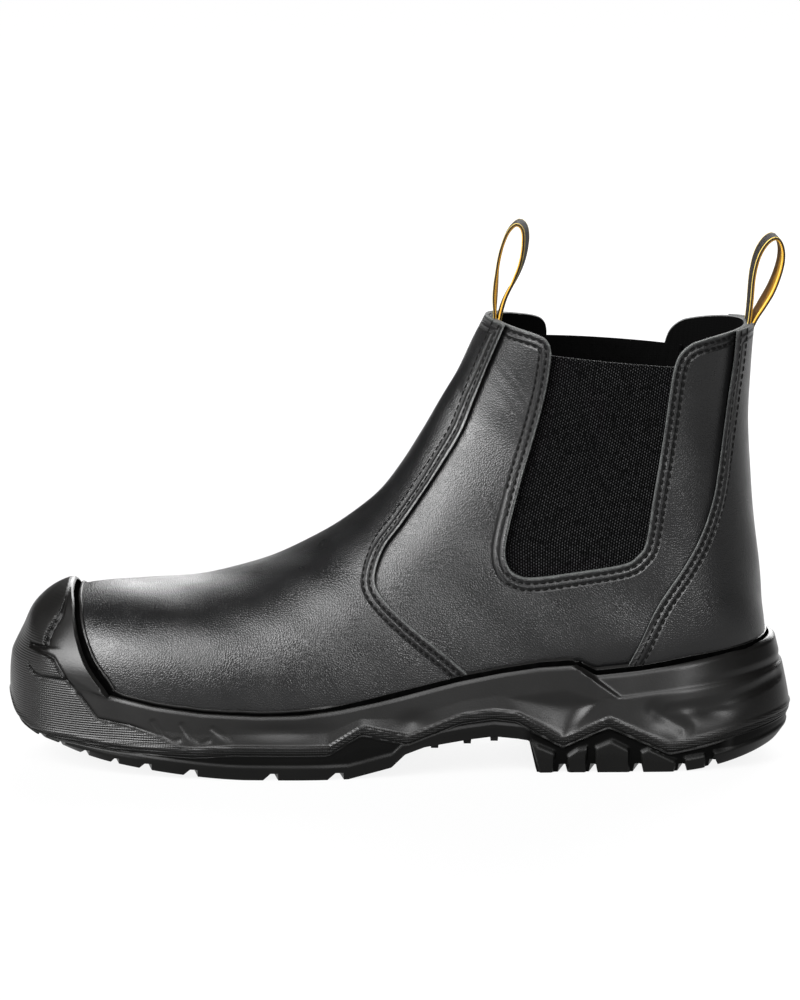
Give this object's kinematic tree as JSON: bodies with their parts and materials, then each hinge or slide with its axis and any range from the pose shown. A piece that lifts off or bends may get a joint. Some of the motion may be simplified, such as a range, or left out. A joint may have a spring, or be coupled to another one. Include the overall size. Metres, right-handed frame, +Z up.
{
  "type": "safety boot",
  "caption": "Black leather elastic-sided safety boot with a moulded toe cap, lugged sole and webbing pull loops at the collar; it stands on its sole and is worn on the left foot.",
  "frame": {"origin": "on the floor under the middle of the boot's box", "axes": "+X from toe to heel, +Y towards the inner side of the foot, +Z up"},
  "size_m": [0.312, 0.1085, 0.2141],
  "materials": {
    "outsole": "matte moulded rubber",
    "midsole": "satin moulded polyurethane",
    "insole": "matte textile",
    "leather": "smooth black leather with a fine grain and a satin sheen",
    "elastic": "ribbed elastic knit",
    "webbing": "flat woven tape, black outside and gold inside"
  },
  "bodies": {
    "root": {"outsole": "outsole", "midsole_with_toe_cap": "midsole", "insole": "insole", "upper": "leather", "vamp": "leather", "heel_counter": "leather", "elastic_gore_outer": "elastic", "elastic_gore_inner": "elastic", "pull_loop_front": "webbing", "pull_loop_back": "webbing"}
  },
  "joints": []
}
